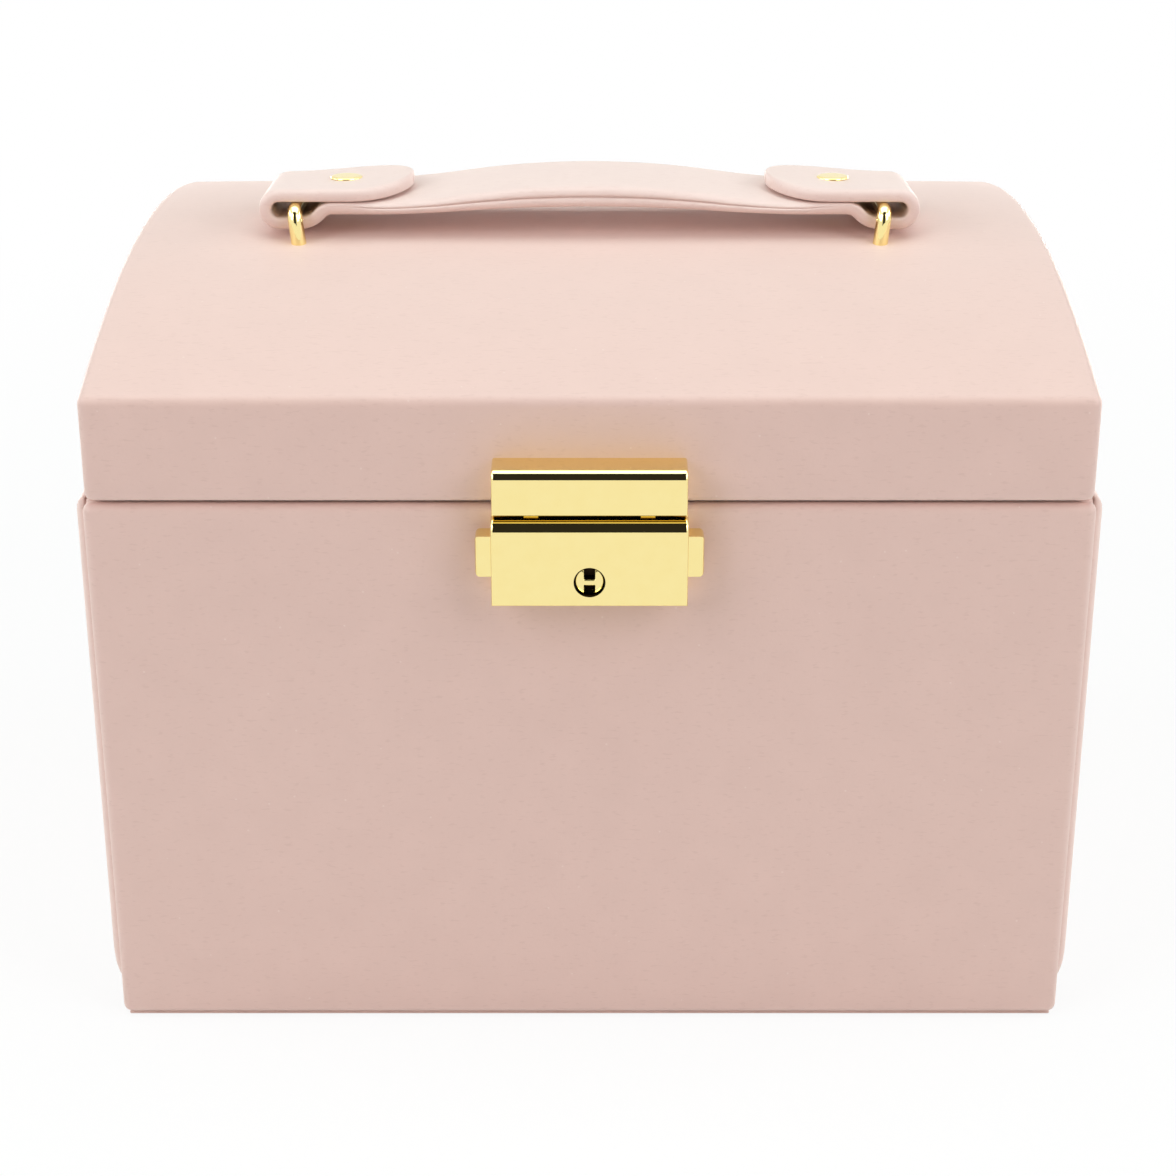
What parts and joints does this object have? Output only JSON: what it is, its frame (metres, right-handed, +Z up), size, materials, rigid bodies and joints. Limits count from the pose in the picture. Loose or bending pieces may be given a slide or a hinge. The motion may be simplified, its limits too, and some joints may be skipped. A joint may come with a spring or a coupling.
{
  "type": "vanity train case",
  "caption": "Small arched-lid vanity train case in pale pink leatherette with a squeeze lock, a strap handle, a lid mirror and a tray that rises as the lid opens.",
  "frame": {"origin": "on the floor under the middle of the base", "axes": "+X to the right as seen from the lock, +Y to the hinges at the back, +Z up"},
  "size_m": [0.175, 0.1532, 0.1391],
  "materials": {
    "leatherette": "pale pink coated fabric, semi-matt, fine grain",
    "strap": "pale pink coated strap, semi-matt",
    "velvet": "short pile velvet",
    "gilt": "polished gold plate",
    "steel": "zinc plated",
    "mirror": "silvered glass",
    "board": "raw board"
  },
  "bodies": {
    "case": {"back_liner": "velvet", "back_panel": "leatherette", "base_plate": "leatherette", "case_hinge_screws": "gilt", "floor_board": "board", "floor_liner": "velvet", "front_liner": "velvet", "front_panel": "leatherette", "hinge_pins": "gilt", "left_case_leaf": "gilt", "left_liner": "velvet", "left_pivot_bracket": "steel", "left_side_cover": "leatherette", "left_wall": "leatherette", "lock_back_plate": "steel", "lock_case": "gilt", "lock_screws": "steel", "right_case_leaf": "gilt", "right_liner": "velvet", "right_pivot_bracket": "steel", "right_side_cover": "leatherette", "right_wall": "leatherette", "tab_spring": "steel"},
    "lid": {"lid_shell": "leatherette", "lid_left_end": "leatherette", "lid_right_end": "leatherette", "lid_panel": "velvet", "mirror_glass": "mirror", "mirror_frame": "gilt", "hasp": "gilt", "hasp_screws": "steel", "handle_strap": "strap", "handle_rivets": "gilt", "left_staple": "gilt", "right_staple": "gilt", "staple_rings": "steel", "left_lid_leaf": "gilt", "right_lid_leaf": "gilt", "lid_hinge_screws": "gilt", "left_link_stud": "steel", "right_link_stud": "steel"},
    "tray": {"tray_back": "velvet", "tray_cross_dividers": "velvet", "tray_floor": "velvet", "tray_front": "velvet", "tray_left_end": "velvet", "tray_long_divider": "velvet", "tray_pivots": "steel", "tray_right_end": "velvet"},
    "key_plug": {"key_plug": "gilt"},
    "left_front_arm": {"left_front_arm": "steel"},
    "left_lid_link": {"left_lid_link": "steel"},
    "left_rear_arm": {"left_rear_arm": "steel"},
    "left_tab": {"left_tab": "gilt"},
    "right_front_arm": {"right_front_arm": "steel"},
    "right_lid_link": {"right_lid_link": "steel"},
    "right_rear_arm": {"right_rear_arm": "steel"},
    "right_tab": {"right_tab": "gilt"}
  },
  "joints": [
    {"name": "lid_hinge", "type": "hinge", "parent": "case", "child": "lid", "pos_m": [0, 0.0733, 0.10045], "axis": [-1, 0, 0], "range_deg": [0, 100]},
    {"name": "left_rear_arm_pivot", "type": "hinge", "parent": "case", "child": "left_rear_arm", "pos_m": [-0.0771, 0.0478, 0.0902], "axis": [-1, 0, 0], "range_deg": [0, 100]},
    {"name": "left_front_arm_pivot", "type": "hinge", "parent": "case", "child": "left_front_arm", "pos_m": [-0.0771, 0.01155, 0.0733], "axis": [-1, 0, 0], "range_deg": [0, 100]},
    {"name": "left_lid_link_pivot", "type": "hinge", "parent": "lid", "child": "left_lid_link", "pos_m": [-0.0786, 0.05881, 0.10433], "axis": [-1, 0, 0], "range_deg": [-100, 0]},
    {"name": "right_rear_arm_pivot", "type": "hinge", "parent": "case", "child": "right_rear_arm", "pos_m": [0.0771, 0.0478, 0.0902], "axis": [-1, 0, 0], "range_deg": [0, 100]},
    {"name": "right_front_arm_pivot", "type": "hinge", "parent": "case", "child": "right_front_arm", "pos_m": [0.0771, 0.01155, 0.0733], "axis": [-1, 0, 0], "range_deg": [0, 100]},
    {"name": "right_lid_link_pivot", "type": "hinge", "parent": "lid", "child": "right_lid_link", "pos_m": [0.0786, 0.05881, 0.10433], "axis": [-1, 0, 0], "range_deg": [-100, 0]},
    {"name": "tray_pivot", "type": "hinge", "parent": "left_rear_arm", "child": "tray", "pos_m": [-0.0771, 0.00397, 0.08637], "axis": [-1, 0, 0], "range_deg": [-100, 0]},
    {"name": "left_tab_slide", "type": "slide", "parent": "case", "child": "left_tab", "axis": [1, 0, 0], "range_m": [0, 0.0019], "stiffness_N_per_m": 400, "springref_m": -0.003, "deforming": ["tab_spring"]},
    {"name": "right_tab_slide", "type": "slide", "parent": "case", "child": "right_tab", "axis": [-1, 0, 0], "range_m": [0, 0.0019], "stiffness_N_per_m": 400, "springref_m": -0.003, "deforming": ["tab_spring"]},
    {"name": "key_turn", "type": "hinge", "parent": "case", "child": "key_plug", "pos_m": [0, -0.0775, 0.0892], "axis": [0, 1, 0], "range_deg": [0, 90]}
  ],
  "couplings": [
    {"joint": "left_rear_arm_pivot", "follows": "lid_hinge", "ratio": 1},
    {"joint": "left_front_arm_pivot", "follows": "lid_hinge", "ratio": 1},
    {"joint": "left_lid_link_pivot", "follows": "lid_hinge", "ratio": -1},
    {"joint": "right_rear_arm_pivot", "follows": "lid_hinge", "ratio": 1},
    {"joint": "right_front_arm_pivot", "follows": "lid_hinge", "ratio": 1},
    {"joint": "right_lid_link_pivot", "follows": "lid_hinge", "ratio": -1},
    {"joint": "tray_pivot", "follows": "lid_hinge", "ratio": -1}
  ]
}
